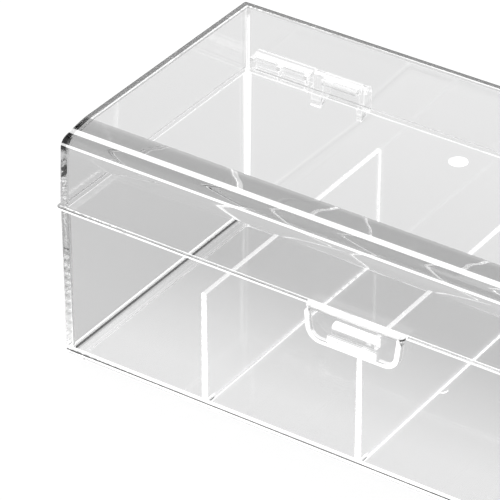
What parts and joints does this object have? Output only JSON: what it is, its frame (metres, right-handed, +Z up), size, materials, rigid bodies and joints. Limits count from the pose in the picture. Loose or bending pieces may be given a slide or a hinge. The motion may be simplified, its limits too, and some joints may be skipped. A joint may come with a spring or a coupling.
{
  "type": "trading card storage box",
  "caption": "Long clear plastic box for standing trading cards, with upright dividers, a snap-hinged lid with a wide rounded front edge, and a hanging latch tab.",
  "frame": {"origin": "on the surface the foot ring stands on, at the middle of the whole outline, latch tab and hinge ears included", "axes": "+X along the length to the right as seen from the latch, -Y towards the front with the latch tab, +Z up"},
  "size_m": [0.2878, 0.1458, 0.1087],
  "materials": {
    "tray_plastic": "clear, polished",
    "lid_plastic": "clear, polished"
  },
  "bodies": {
    "tray": {"tray": "tray_plastic"},
    "lid": {"lid": "lid_plastic"}
  },
  "joints": [
    {"name": "lid_hinge", "type": "hinge", "parent": "tray", "child": "lid", "pos_m": [0, 0.07005, 0.0793], "axis": [-1, 0, 0], "range_deg": [0, 110]}
  ]
}
